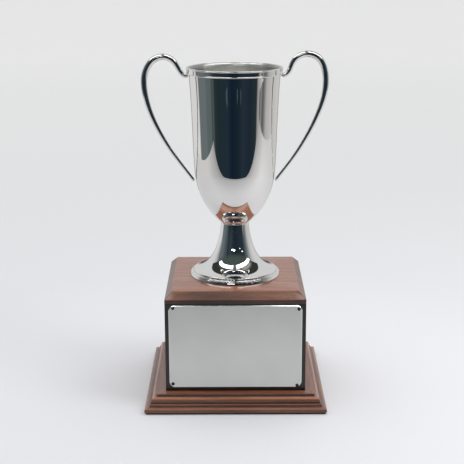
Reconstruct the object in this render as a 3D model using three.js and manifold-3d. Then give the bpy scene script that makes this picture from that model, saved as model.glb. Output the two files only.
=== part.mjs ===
// Cup trophy: a spun metal loving cup with two scroll handles, bolted through the top of a
// hollow walnut plinth that carries a pinned name plate.
//
// Lengths are millimetres. +Z is up, the name plate faces -Y and the handles lie along X.
// The origin is on the table, under the middle of the base.

import * as THREE from 'three';
import { mergeVertices } from 'three/addons/utils/BufferGeometryUtils.js';
import Module from 'manifold-3d';

// ---------------------------------------------------------------- driving dimensions

const GAP = 0.3;                     // clearance between pieces that touch in the real object
const FINE_GAP = 0.1;                // the same, under small flat hardware

const FELT_THICKNESS = 1.5;
const FELT_INSET = 1.0;              // the felt stops this far inside the base edge
const BASE_HALF = 98.425;            // 7 3/4 in square base board
const BASE_TOP = 18.75;              // height of its flat ledge
const ACCESS_HOLE_RADIUS = 38.1;     // 3 in hole under the plinth, for a spanner

// The routed edge of the base board, from the table up. Insets are from BASE_HALF.
const PLANK_TOP = 4.4;               // the upright edge ends here and rounds over
const PLANK_INSET = 3.9;
const PLANK_ROUND = 2.2;
const COVE_MIDDLE = 9;
const COVE_ACROSS = 1.6;
const COVE_UP = 2.4;
const FILLET_INSET = 6.5;
const FILLET_HEIGHT = 10;
const OVOLO_FOOT = 11.4;             // the quarter round starts here
const OVOLO_INSET = 10.7;
const OVOLO_ACROSS = 3.7;
const OVOLO_UP = 4.7;
const RISER_INSET = 12.7;
const RISER_FOOT = 16.1;

const COLUMN_HALF = 76.2;            // 6 in square plinth
const COLUMN_TOP = 130.6;
const BOARD = 12.7;                  // side and top boards, 1/2 in
const CHAMFER = 7.94;                // 5/16 in chamfer round the top
const BLOCK = 19.05;                 // square glue blocks in the corners
const BLOCK_TOP = 98;

const PLATE_HALF_WIDTH = 71.9;
const PLATE_LOW = 23.1;
const PLATE_HIGH = 116.5;
const PLATE_CORNER = 6;
const PLATE_THICKNESS = 1;
const PIN_HEAD_RADIUS = 1.8;
const PIN_HEAD_HEIGHT = 1.1;
const PIN_SHANK_RADIUS = 0.65;
const PIN_SHANK_LENGTH = 9;
const PIN_PLACES = {                 // set by hand, so not quite square: x and z of each
  upper_left: [-67.2, 113.9],
  upper_right: [68.3, 112.5],
  lower_left: [-68.2, 27.4],
  lower_right: [67.1, 25.3],
};

const SCREW_HEAD_RADIUS = 4;
const SCREW_SHANK_RADIUS = 2;
const SCREW_LENGTH = 30;
const SCREW_POINT = 4;
const SCREW_PLACE = COLUMN_HALF - BOARD - BLOCK / 2;

const SHEET = 1.1;                   // wall of the spun metal
const FOOT_RADIUS = 50.8;            // 4 in foot
const FOOT_INSIDE_RADIUS = 45.5;
const FOOT_EDGE_CURVE = 8;           // its edge leans in, then turns over a tighter shoulder
const FOOT_EDGE_LEAN = 8;            // in degrees
const FOOT_SHOULDER_START = 38;      // in degrees
const FOOT_SHOULDER = 2.2;
const FOOT_GROOVE_RADIUS = 47.1;     // a groove and a small step part the edge from the slope
const FOOT_GROOVE_HEIGHT = 4.1;
const FOOT_STEP_RADIUS = 46.7;
const FOOT_STEP_ROUND = 0.9;
const FOOT_SLOPE_RADIUS = 45.2;
const FOOT_SLOPE_HEIGHT = 6.3;
const FLARE_PULL_RADIUS = 32;        // the curve leaves the foot towards this point
const FLARE_PULL_HEIGHT = 10.6;
const STEM_PULL_RADIUS = 19.4;       // and reaches the stem's top from this one
const STEM_PULL_HEIGHT = 20;
const STEM_TOP = 189.8;
const STEM_TOP_RADIUS = 15.3;
const BOWL_BOTTOM = 190.3;
const BOWL_BOTTOM_RADIUS = 15.2;
const BOWL_SHOULDER = 248;           // the bowl's round bottom meets its tall wall here
const BOWL_SHOULDER_RADIUS = 44.4;
const BOWL_BOTTOM_PULLS = [29.7, 202, 41.6, 221];   // radius and height, twice: the curve's pulls
const BOWL_WALL_PULLS = [46.4, 274, 46.9, 326];
const BAND_BOTTOM = 356;
const BAND_TOP = 363.3;
const BAND_RADIUS = 52.2;
const LOWER_BEAD = 0.7;              // radii of the half-round beads on the band's two edges
const UPPER_BEAD = 0.5;
const LIP_RADIUS = 50.6;
const LIP_TOP = 362.7;
const HANDLE_START_RADIUS = 2.3;     // under the band
const HANDLE_RADIUS = 3.7;           // at its thickest
const HANDLE_END_RADIUS = 1.9;
const HANDLE_THICKEST = 0.26;        // share of the way from the band to the lower end

const ROD_RADIUS = 3.175;            // 1/4-20 draw rod
const ROD_LOW = 98;
const ROD_HIGH = 186;
const ROD_CLEARANCE = 0.35;
const BOSS_RADIUS = 8;
const BOSS_LENGTH = 16;
const BOSS_FLANGE_RADIUS = 12;
const BOSS_FLANGE = 2;
const FOOT_PLATE_RADIUS = 45;
const FOOT_PLATE_THICKNESS = 1.6;
const WASHER_RADIUS = 12.7;
const WASHER_THICKNESS = 1.6;
const NUT_ACROSS_FLATS = 11.11;      // 7/16 in
const NUT_THICKNESS = 5.56;          // 7/32 in

const ROUND = 48;                    // sides of a large round piece
const HANDLE_STEPS = 44;
const HANDLE_SIDES = 10;
const SMALL_ROUND = 24;
const TINY_ROUND = 12;

// ---------------------------------------------------------------- materials

const METAL = { color: 0xc9ccce, roughness: 0.08, metalness: 1 };
const STEEL = { color: 0x9a9c9e, roughness: 0.35, metalness: 1 };
const BRASS = { color: 0xb08d4f, roughness: 0.4, metalness: 1 };
const PLATE = { color: 0xb3b6b5, roughness: 0.3, metalness: 1 };
const WALNUT = { color: 0x5b3a2c, roughness: 0.35, metalness: 0 };
const PINE = { color: 0xc49a6a, roughness: 0.7, metalness: 0 };
const FELT = { color: 0x1d2a22, roughness: 1, metalness: 0 };

// ---------------------------------------------------------------- geometry helpers

const wasm = await Module();
wasm.setup();

/** A closed three.js geometry as a solid that can be joined and cut. */
function solidOf(geometry) {
  const bare = geometry.clone();
  bare.deleteAttribute('normal');
  bare.deleteAttribute('uv');
  const merged = mergeVertices(bare, 1e-4);
  const corners = merged.getIndex().array;
  const triVerts = [];
  for (let i = 0; i < corners.length; i += 3) {
    const [a, b, c] = [corners[i], corners[i + 1], corners[i + 2]];
    if (a !== b && b !== c && c !== a) triVerts.push(a, b, c);
  }
  return new wasm.Manifold(new wasm.Mesh({
    numProp: 3,
    vertProperties: Float32Array.from(merged.getAttribute('position').array),
    triVerts: Uint32Array.from(triVerts),
  }));
}

/** One geometry with each of the others cut out of it. */
function cut(geometry, cutters) {
  let solid = solidOf(geometry);
  for (const cutter of cutters) solid = solid.subtract(solidOf(cutter));
  const mesh = solid.getMesh();
  const result = new THREE.BufferGeometry();
  result.setAttribute('position', new THREE.BufferAttribute(Float32Array.from(mesh.vertProperties), 3));
  result.setIndex(new THREE.BufferAttribute(Uint32Array.from(mesh.triVerts), 1));
  result.computeVertexNormals();
  return result;
}

/** A body of revolution about Z. The points are (radius, height), and run round the material. */
function turned(points, sides = ROUND) {
  const outline = THREE.ShapeUtils.area(points) < 0 ? [...points].reverse() : points;
  return new THREE.LatheGeometry(outline, sides).rotateX(Math.PI / 2);
}

/** The same for a square piece: each point is (half width, height) and the corners are mitred. */
function squareTurned(points) {
  return turned(points, 4).rotateZ(Math.PI / 4).scale(Math.SQRT2, Math.SQRT2, 1);
}

/** A plain round bar or, with a bore, a plain tube, along Z. */
function bar(radius, low, high, sides = SMALL_ROUND, bore = 0) {
  const points = [[bore, low], [radius, low], [radius, high], [bore, high]];
  if (bore > 0) points.push([bore, low]);
  return turned(points.map(([r, z]) => new THREE.Vector2(r, z)), sides);
}

/** The outline moved inwards by the wall: the other face of a spun sheet, in the same order. */
function innerFace(outline, wall) {
  return outline.map((point, i) => {
    const before = outline[Math.max(i - 1, 0)];
    const after = outline[Math.min(i + 1, outline.length - 1)];
    const along = after.clone().sub(before).normalize();
    return new THREE.Vector2(point.x - along.y * wall, point.y + along.x * wall);
  });
}

/** A flat outline in X and Y, lifted from one height to another. */
function raised(shape, low, high, curveSegments = 6) {
  const settings = { depth: high - low, bevelEnabled: false, curveSegments };
  return new THREE.ExtrudeGeometry(shape, settings).translate(0, 0, low);
}

/** A closed round bar along a curve in the XZ plane. Its radius is a function of the place
 *  along the curve, from 0 to 1. */
function taperedBar(curve, steps, sides, radius) {
  const positions = [];
  const triangles = [];
  const across = new THREE.Vector3(0, 1, 0);
  for (let i = 0; i <= steps; i += 1) {
    const t = i / steps;
    const centre = curve.getPointAt(t);
    const outwards = across.clone().cross(curve.getTangentAt(t));
    for (let j = 0; j < sides; j += 1) {
      const angle = (2 * Math.PI * j) / sides;
      const point = centre.clone()
        .addScaledVector(outwards, radius(t) * Math.cos(angle))
        .addScaledVector(across, radius(t) * Math.sin(angle));
      positions.push(point.x, point.y, point.z);
    }
  }
  const ring = (i, j) => i * sides + (j % sides);
  for (let i = 0; i < steps; i += 1) {
    for (let j = 0; j < sides; j += 1) {
      triangles.push(ring(i, j), ring(i + 1, j + 1), ring(i + 1, j));
      triangles.push(ring(i, j), ring(i, j + 1), ring(i + 1, j + 1));
    }
  }
  for (let j = 1; j < sides - 1; j += 1) {
    triangles.push(ring(0, 0), ring(0, j + 1), ring(0, j));
    triangles.push(ring(steps, 0), ring(steps, j), ring(steps, j + 1));
  }
  const geometry = new THREE.BufferGeometry();
  geometry.setAttribute('position', new THREE.Float32BufferAttribute(positions, 3));
  geometry.setIndex(triangles);
  geometry.computeVertexNormals();
  return geometry;
}

const trophy = new THREE.Group();

/** Adds one sub-part to a group as a named mesh with a material of its own. */
function add(group, name, geometry, look) {
  const mesh = new THREE.Mesh(geometry, new THREE.MeshStandardMaterial(look));
  mesh.name = name;
  group.add(mesh);
  return mesh;
}

// ---------------------------------------------------------------- wooden plinth

const plinth = new THREE.Group();
trophy.add(plinth);

/** The felt under the base, with the access hole through it. */
function feltSheet() {
  const half = BASE_HALF - FELT_INSET;
  const shape = new THREE.Shape();
  shape.moveTo(-half, -half).lineTo(half, -half).lineTo(half, half).lineTo(-half, half).closePath();
  shape.holes.push(new THREE.Path().absarc(0, 0, ACCESS_HOLE_RADIUS, 0, 2 * Math.PI, true));
  return raised(shape, 0, FELT_THICKNESS, SMALL_ROUND);
}

/** The square base board: its edge is routed with a plank, a cove, a quarter round and a ledge. */
function baseBoard() {
  const low = FELT_THICKNESS + GAP;
  const quarter = Math.PI / 2;
  const at = (inset) => BASE_HALF - inset;
  const edge = new THREE.Path();
  edge.moveTo(0, low);
  edge.lineTo(BASE_HALF, low);
  edge.lineTo(BASE_HALF, PLANK_TOP);
  edge.absellipse(at(PLANK_INSET), PLANK_TOP, PLANK_INSET, PLANK_ROUND, 0, quarter, false);
  edge.absellipse(at(PLANK_INSET), COVE_MIDDLE, COVE_ACROSS, COVE_UP, -quarter, -2 * quarter, true);
  edge.lineTo(at(FILLET_INSET), FILLET_HEIGHT);
  edge.lineTo(at(OVOLO_INSET - OVOLO_ACROSS), OVOLO_FOOT);
  edge.absellipse(at(OVOLO_INSET), OVOLO_FOOT, OVOLO_ACROSS, OVOLO_UP, 0, quarter, false);
  edge.lineTo(at(RISER_INSET), RISER_FOOT);
  edge.lineTo(at(RISER_INSET), BASE_TOP);
  edge.lineTo(0, BASE_TOP);
  const access = bar(ACCESS_HOLE_RADIUS, 0, BASE_TOP + 1, ROUND);
  return cut(squareTurned(edge.getPoints(3)), [access, ...cornerPlaces().map(screwHole)]);
}

/** The four places, one in each corner, that the screws and blocks share. */
function cornerPlaces() {
  return [[-1, -1], [1, -1], [1, 1], [-1, 1]].map(([x, y]) => [x * SCREW_PLACE, y * SCREW_PLACE]);
}

/** A wood screw pointing up, or with extra clearance the hole for it. */
function screwBody(extra = 0) {
  const head = FELT_THICKNESS + GAP + FINE_GAP;
  const shank = SCREW_SHANK_RADIUS + extra;
  const points = [
    [0, head - extra],
    [SCREW_HEAD_RADIUS + extra, head - extra],
    [SCREW_HEAD_RADIUS + extra, head],
    [shank, head + SCREW_HEAD_RADIUS - SCREW_SHANK_RADIUS],
    [shank, SCREW_LENGTH - SCREW_POINT],
    [0, SCREW_LENGTH + extra],
  ];
  return turned(points.map(([r, z]) => new THREE.Vector2(r, z)), TINY_ROUND);
}

function screwHole([x, y]) {
  return screwBody(GAP).translate(x, y, 0);
}

/** A side board of the plinth, mitred at both ends. It is made as the front one. */
function sideBoard() {
  const outer = COLUMN_HALF - GAP / 2;
  const inner = outer - BOARD;
  const shape = new THREE.Shape();
  shape.moveTo(-outer, -COLUMN_HALF).lineTo(outer, -COLUMN_HALF);
  shape.lineTo(inner, BOARD - COLUMN_HALF).lineTo(-inner, BOARD - COLUMN_HALF).closePath();
  return raised(shape, BASE_TOP + GAP, COLUMN_TOP - BOARD - GAP);
}

/** The top board, chamfered all round, with a clearance hole for the draw rod. */
function topBoard() {
  const low = COLUMN_TOP - BOARD;
  const points = [
    [0, low],
    [COLUMN_HALF, low],
    [COLUMN_HALF, COLUMN_TOP - CHAMFER],
    [COLUMN_HALF - CHAMFER, COLUMN_TOP],
    [0, COLUMN_TOP],
  ].map(([a, z]) => new THREE.Vector2(a, z));
  return cut(squareTurned(points), [bar(ROD_RADIUS + ROD_CLEARANCE, low - 1, COLUMN_TOP + 1)]);
}

/** One glue block, bored for its screw. */
function cornerBlock([x, y]) {
  const half = BLOCK / 2 - GAP;
  const shape = new THREE.Shape();
  shape.moveTo(-half, -half).lineTo(half, -half).lineTo(half, half).lineTo(-half, half).closePath();
  return cut(raised(shape, BASE_TOP + GAP, BLOCK_TOP), [screwBody(GAP)]).translate(x, y, 0);
}

/** A round-head pin driven into the front, or with extra clearance the hole for it. */
function platePin([x, z], extra = 0) {
  const face = COLUMN_HALF + GAP + PLATE_THICKNESS + FINE_GAP;
  const head = new THREE.Path();
  head.moveTo(0, -PIN_SHANK_LENGTH - extra);
  head.lineTo(PIN_SHANK_RADIUS + extra, -PIN_SHANK_LENGTH + 1);
  head.lineTo(PIN_SHANK_RADIUS + extra, 0);
  head.lineTo(PIN_HEAD_RADIUS + extra, 0);
  head.absellipse(0, 0, PIN_HEAD_RADIUS + extra, PIN_HEAD_HEIGHT, 0, Math.PI / 2, false);
  return turned(head.getPoints(2), TINY_ROUND).rotateX(Math.PI / 2).translate(x, -face, z);
}

/** The name plate: a thin sheet with rounded corners and a hole for each pin. */
function namePlate() {
  const [w, c] = [PLATE_HALF_WIDTH, PLATE_CORNER];
  const shape = new THREE.Shape();
  shape.moveTo(w, PLATE_LOW + c);
  shape.absarc(w - c, PLATE_HIGH - c, c, 0, Math.PI / 2, false);
  shape.absarc(c - w, PLATE_HIGH - c, c, Math.PI / 2, Math.PI, false);
  shape.absarc(c - w, PLATE_LOW + c, c, Math.PI, 1.5 * Math.PI, false);
  shape.absarc(w - c, PLATE_LOW + c, c, 1.5 * Math.PI, 2 * Math.PI, false);
  for (const [x, z] of Object.values(PIN_PLACES)) {
    shape.holes.push(new THREE.Path().absarc(x, z, PIN_SHANK_RADIUS + GAP, 0, 2 * Math.PI, true));
  }
  const sheet = raised(shape, 0, PLATE_THICKNESS).rotateX(Math.PI / 2);
  return sheet.translate(0, -COLUMN_HALF - GAP, 0);
}

add(plinth, 'felt_sheet', feltSheet(), FELT);
add(plinth, 'base_board', baseBoard(), WALNUT);
const pinHoles = Object.values(PIN_PLACES).map((place) => platePin(place, GAP));
add(plinth, 'front_board', cut(sideBoard(), pinHoles), WALNUT);
for (const [name, quarterTurns] of [['right_board', 1], ['back_board', 2], ['left_board', 3]]) {
  add(plinth, name, sideBoard(), WALNUT).rotation.z = (quarterTurns * Math.PI) / 2;
}
add(plinth, 'top_board', topBoard(), WALNUT);
cornerPlaces().forEach((place, i) => {
  add(plinth, `corner_block_${i + 1}`, cornerBlock(place), PINE);
  add(plinth, `base_screw_${i + 1}`, screwBody().translate(place[0], place[1], 0), STEEL);
});
add(plinth, 'name_plate', namePlate(), PLATE);
for (const [corner, place] of Object.entries(PIN_PLACES)) {
  add(plinth, `plate_pin_${corner}`, platePin(place), BRASS);
}

// ---------------------------------------------------------------- cup

const cup = new THREE.Group();
trophy.add(cup);

/** The bowl: a round bottom, a tall wall that flares a little, and a lip inside the rim band. */
function bowl() {
  const wall = new THREE.Path();
  wall.moveTo(0, BOWL_BOTTOM);
  wall.lineTo(BOWL_BOTTOM_RADIUS, BOWL_BOTTOM);
  wall.bezierCurveTo(...BOWL_BOTTOM_PULLS, BOWL_SHOULDER_RADIUS, BOWL_SHOULDER);
  wall.bezierCurveTo(...BOWL_WALL_PULLS, LIP_RADIUS - 0.6, BAND_BOTTOM);
  wall.lineTo(LIP_RADIUS, LIP_TOP);
  const outside = wall.getPoints(10);
  return turned([...outside, ...innerFace(outside, SHEET).reverse()].map(onAxis));
}

/** A point that the wall's thickness moved across the axis goes back on it. */
function onAxis(point) {
  return point.x < 0.01 ? new THREE.Vector2(0, point.y) : point;
}

/** The ring round the mouth, with a bead along each edge and a skirt that closes on the bowl. */
function rimBand() {
  const band = new THREE.Path();
  band.moveTo(LIP_RADIUS - 0.2, BAND_BOTTOM);
  band.lineTo(BAND_RADIUS, BAND_BOTTOM);
  band.absarc(BAND_RADIUS, BAND_BOTTOM + LOWER_BEAD, LOWER_BEAD, -Math.PI / 2, Math.PI / 2, false);
  band.absarc(BAND_RADIUS, BAND_TOP - UPPER_BEAD, UPPER_BEAD, -Math.PI / 2, Math.PI / 2, false);
  band.lineTo(LIP_RADIUS + GAP, BAND_TOP);
  band.lineTo(LIP_RADIUS + GAP, BAND_BOTTOM + 2);
  band.closePath();
  return turned(band.getPoints(2));
}

/** The place at a distance from another, along a direction. */
function polar(x, y, distance, angle) {
  return [x + distance * Math.cos(angle), y + distance * Math.sin(angle)];
}

/** The hollow stem that spreads into a round foot with an upright, rounded edge. */
function stemFoot() {
  const low = COLUMN_TOP + GAP;
  const slope = new THREE.Path();
  slope.moveTo(FOOT_SLOPE_RADIUS, low + FOOT_SLOPE_HEIGHT);
  slope.bezierCurveTo(
    FLARE_PULL_RADIUS, low + FLARE_PULL_HEIGHT,
    STEM_PULL_RADIUS, low + STEM_PULL_HEIGHT,
    STEM_TOP_RADIUS, STEM_TOP,
  );
  const outside = slope.getPoints(14);
  const edge = new THREE.Path();
  const lean = THREE.MathUtils.degToRad(FOOT_EDGE_LEAN);
  const turn = THREE.MathUtils.degToRad(FOOT_SHOULDER_START);
  const edgeMiddle = polar(FOOT_RADIUS, low, -FOOT_EDGE_CURVE, lean);
  const shoulderMiddle = polar(...edgeMiddle, FOOT_EDGE_CURVE - FOOT_SHOULDER, turn);
  const stepMiddle = low + FOOT_SLOPE_HEIGHT - FOOT_STEP_ROUND;
  edge.moveTo(FOOT_INSIDE_RADIUS, low);
  edge.absarc(...edgeMiddle, FOOT_EDGE_CURVE, lean, turn, false);
  edge.absarc(...shoulderMiddle, FOOT_SHOULDER, turn, Math.PI / 2, false);
  edge.lineTo(FOOT_GROOVE_RADIUS, low + FOOT_GROOVE_HEIGHT);
  edge.lineTo(FOOT_STEP_RADIUS, low + FOOT_GROOVE_HEIGHT + 0.4);
  edge.absarc(FOOT_STEP_RADIUS - FOOT_STEP_ROUND, stepMiddle, FOOT_STEP_ROUND, 0, Math.PI / 2, false);
  const rim = edge.getPoints(3);
  return turned([...rim, ...outside, ...innerFace(outside, SHEET).reverse(), rim[0].clone()]);
}

/** The threaded bush soldered under the bowl, inside the stem. */
function bowlBoss() {
  const top = BOWL_BOTTOM - GAP;
  const bore = ROD_RADIUS + ROD_CLEARANCE;
  const points = [
    [bore, top],
    [BOSS_FLANGE_RADIUS, top],
    [BOSS_FLANGE_RADIUS, top - BOSS_FLANGE],
    [BOSS_RADIUS, top - BOSS_FLANGE],
    [BOSS_RADIUS, top - BOSS_LENGTH],
    [bore, top - BOSS_LENGTH],
    [bore, top],
  ];
  return turned(points.map(([r, z]) => new THREE.Vector2(r, z)), SMALL_ROUND);
}

/** A round bush plate inside the foot that keeps the draw rod in the middle. */
function footPlate() {
  const low = COLUMN_TOP + GAP;
  const bore = ROD_RADIUS + ROD_CLEARANCE;
  return bar(FOOT_PLATE_RADIUS, low, low + FOOT_PLATE_THICKNESS, ROUND, bore);
}

/** A handle's radius at a place along it: it swells quickly to its thickest, then tapers slowly. */
function handleRadius(t) {
  const rising = t < HANDLE_THICKEST;
  const share = rising ? t / HANDLE_THICKEST : (1 - t) / (1 - HANDLE_THICKEST);
  const end = rising ? HANDLE_START_RADIUS : HANDLE_END_RADIUS;
  return end + (HANDLE_RADIUS - end) * Math.sin((share * Math.PI) / 2) ** (rising ? 1 : 2.5);
}

/** One handle, from under the rim band, over its crest and down to the foot of the bowl. */
function handle(places) {
  const curve = new THREE.CatmullRomCurve3(places.map(([x, z]) => new THREE.Vector3(x, 0, z)));
  return taperedBar(curve, HANDLE_STEPS, HANDLE_SIDES, handleRadius);
}

// Places that each handle passes, in X and Z: the hook under the band, the crest, the outermost
// bend and the long taper. The two were bent by hand, so they aren't mirror images.
const LEFT_HANDLE = [
  [-50.4, 353.4], [-55, 352.6], [-60.5, 360.6], [-66.2, 370.1], [-77.6, 374.9],
  [-89.9, 369.9], [-97.8, 356.5], [-98.6, 341], [-92.3, 314], [-75.2, 279.2], [-45, 237],
];
const RIGHT_HANDLE = [
  [50.4, 353.7], [55.5, 353.6], [59.8, 358], [62.2, 367], [68.4, 374.2], [79.7, 377.5],
  [92.4, 371.9], [98.7, 356.5], [98.1, 334], [88.9, 306.5], [69.8, 271.3], [44.9, 237.4],
];

add(cup, 'bowl', bowl(), METAL);
add(cup, 'rim_band', rimBand(), METAL);
add(cup, 'left_handle', handle(LEFT_HANDLE), METAL);
add(cup, 'right_handle', handle(RIGHT_HANDLE), METAL);
add(cup, 'stem_foot', stemFoot(), METAL);
add(cup, 'foot_plate', footPlate(), STEEL);
add(cup, 'bowl_boss', bowlBoss(), BRASS);
add(cup, 'draw_rod', bar(ROD_RADIUS, ROD_LOW, ROD_HIGH, TINY_ROUND), STEEL);

// ---------------------------------------------------------------- nut and washer

const washerTop = COLUMN_TOP - BOARD - GAP;
const nutTop = washerTop - WASHER_THICKNESS - GAP;
const nutRadius = NUT_ACROSS_FLATS / Math.sqrt(3);
const bore = ROD_RADIUS + ROD_CLEARANCE;

const washerLow = washerTop - WASHER_THICKNESS;
const nutLow = nutTop - NUT_THICKNESS;

add(trophy, 'washer', bar(WASHER_RADIUS, washerLow, washerTop, SMALL_ROUND, bore), STEEL);
add(trophy, 'nut', cut(bar(nutRadius, nutLow, nutTop, 6), [bar(bore, nutLow - 1, nutTop + 1)]), STEEL);

export default trophy;
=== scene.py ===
"""Looks for the cup trophy: a polished loving cup on a walnut plinth with a plain name plate.

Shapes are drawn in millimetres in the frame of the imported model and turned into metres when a
mesh is made. +Z is up, the name plate faces -Y and the two handles lie along X.
"""

import math

import bpy
import bmesh
from mathutils import Matrix, Vector, noise


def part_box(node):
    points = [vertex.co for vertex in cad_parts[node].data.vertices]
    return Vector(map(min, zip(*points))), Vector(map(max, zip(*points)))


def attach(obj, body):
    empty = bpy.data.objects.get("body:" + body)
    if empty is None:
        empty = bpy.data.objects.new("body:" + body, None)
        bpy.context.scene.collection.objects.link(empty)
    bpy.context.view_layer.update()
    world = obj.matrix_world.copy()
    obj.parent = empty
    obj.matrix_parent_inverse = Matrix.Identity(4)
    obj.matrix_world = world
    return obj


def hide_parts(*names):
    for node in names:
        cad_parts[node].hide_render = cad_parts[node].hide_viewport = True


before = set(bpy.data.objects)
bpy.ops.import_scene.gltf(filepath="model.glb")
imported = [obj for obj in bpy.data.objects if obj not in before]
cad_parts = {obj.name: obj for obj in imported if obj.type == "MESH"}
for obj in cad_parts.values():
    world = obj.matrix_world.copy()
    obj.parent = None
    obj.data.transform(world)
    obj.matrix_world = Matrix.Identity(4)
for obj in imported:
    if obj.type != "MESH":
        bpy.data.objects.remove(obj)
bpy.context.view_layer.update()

MM = 0.001
SMOOTH_BELOW = math.radians(32)      # a sharper edge than this keeps its crease
MOUTH_RADIUS = 52.0                  # of the cup, over its band
PLINTH_HALF = 76.2                   # half the width of the plinth
CHAMFER_TOP = 130.3                  # the sloping edge round the plinth's top ends here
ACCESS_RADIUS = 38.1                 # of the hole under the plinth
ROD_HOLE_RADIUS = 3.525              # in the top board and in the washer

# ---------------------------------------------------------------- where the frame puts things


def low(node):
    """The lowest corner of a node's box, in millimetres."""
    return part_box(node)[0] / MM


def high(node):
    """The highest corner of a node's box, in millimetres."""
    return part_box(node)[1] / MM


# ---------------------------------------------------------------- outlines


def bezier(a, b, c, d, steps):
    """Points along a cubic curve, without its first point."""
    found = []
    for i in range(1, steps + 1):
        t = i / steps
        weights = ((1 - t) ** 3, 3 * t * (1 - t) ** 2, 3 * t * t * (1 - t), t ** 3)
        found.append(tuple(sum(w * p[k] for w, p in zip(weights, (a, b, c, d))) for k in range(2)))
    return found


def arc(centre, across, up, start, end, steps):
    """Points on part of an ellipse, both ends included. Angles are in degrees."""
    found = []
    for i in range(steps + 1):
        angle = math.radians(start + (end - start) * i / steps)
        found.append((centre[0] + across * math.cos(angle), centre[1] + up * math.sin(angle)))
    return found


def offset(outline, distance):
    """The outline moved sideways to its left by a distance, but never past the axis."""
    found = []
    for i, (x, y) in enumerate(outline):
        before = Vector(outline[max(i - 1, 0)])
        after = Vector(outline[min(i + 1, len(outline) - 1)])
        along = (after - before).normalized()
        found.append((max(x - along.y * distance, 0.0), y + along.x * distance))
    return found


# ---------------------------------------------------------------- meshes


def piece(name, vertices, faces, body, stands_for, materials, tags=None, smooth=True):
    """Makes a mesh from millimetre points, ties it to its CAD body, hides the CAD nodes it stands for and
    gives it its materials.
    """
    mesh = bpy.data.meshes.new(name)
    mesh.from_pydata([Vector(v) * MM for v in vertices], [], faces)
    for material in materials:
        mesh.materials.append(material)
    if tags:
        mesh.polygons.foreach_set("material_index", tags)
    work = bmesh.new()
    work.from_mesh(mesh)
    bmesh.ops.recalc_face_normals(work, faces=work.faces)
    work.to_mesh(mesh)
    work.free()
    if smooth:
        mesh.shade_smooth()
        mesh.set_sharp_from_angle(angle=SMOOTH_BELOW)
    made = bpy.data.objects.new(name, mesh)
    bpy.context.scene.collection.objects.link(made)
    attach(made, body)
    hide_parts(*stands_for)
    return made


def joined_rings(rings, tags=None, closed=True):
    """Faces between rings of vertex numbers, each with the next. A ring of one is a pole."""
    faces, face_tags = [], []
    count = len(rings) if closed else len(rings) - 1
    for i in range(count):
        a, b = rings[i], rings[(i + 1) % len(rings)]
        size = max(len(a), len(b))
        if size == 1:
            continue
        for j in range(size):
            k = (j + 1) % size
            corners = [a[j % len(a)], a[k % len(a)], b[k % len(b)], b[j % len(b)]]
            faces.append(list(dict.fromkeys(corners)))
            face_tags.append(tags[i] if tags else 0)
    return faces, face_tags


def turned(outline, sides=160, tags=None):
    """Vertices and faces of a body of revolution about Z; the closed outline is (radius, height)."""
    vertices, rings = [], []
    for radius, height in outline:
        around = range(sides if radius > 1e-6 else 1)
        rings.append([len(vertices) + j for j in around])
        for j in around:
            angle = 2 * math.pi * j / sides
            vertices.append((radius * math.cos(angle), radius * math.sin(angle), height))
    faces, face_tags = joined_rings(rings, tags)
    return vertices, faces, face_tags


def square_ring(half, ease, per_side, corner_steps=4):
    """A square with eased corners, in X and Y, starting in the middle of its +X side."""
    reach = half - ease
    count = per_side // 2
    found = []
    for quarter in range(4):
        turn = Matrix.Rotation(quarter * math.pi / 2, 2)
        side = [Vector((half, reach * i / count)) for i in range(count)]
        corner = [Vector(p) for p in arc((reach, reach), ease, ease, 0, 90, corner_steps)]
        far = [Vector((reach * (1 - i / count), half)) for i in range(1, count)]
        found += [turn @ p for p in side + corner + far]
    return found


def square_turned(outline, ease, per_side=16, hole=None):
    """A square board whose edge has the outline (half width, height), with a round hole."""
    vertices, rings = [], []
    shape = [("square", *p) for p in outline]
    shape = [("hole", hole, outline[0][1])] + shape + [("hole", hole, outline[-1][1])]
    for kind, reach, height in shape:
        if kind == "hole":
            ring = [p.normalized() * reach for p in square_ring(outline[0][0], ease, per_side)]
        else:
            ring = square_ring(reach, ease, per_side)
        rings.append(list(range(len(vertices), len(vertices) + len(ring))))
        vertices += [(p.x, p.y, height) for p in ring]
    faces, _ = joined_rings(rings)
    return vertices, faces


def prism(outline, start, end):
    """A flat outline in X and Y, lifted between two heights."""
    count = len(outline)
    vertices = [(x, y, z) for z in (start, end) for x, y in outline]
    faces = [[i, (i + 1) % count, count + (i + 1) % count, count + i] for i in range(count)]
    return vertices, faces + [list(range(count)), list(range(count, 2 * count))]


# ---------------------------------------------------------------- material helpers


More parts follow.
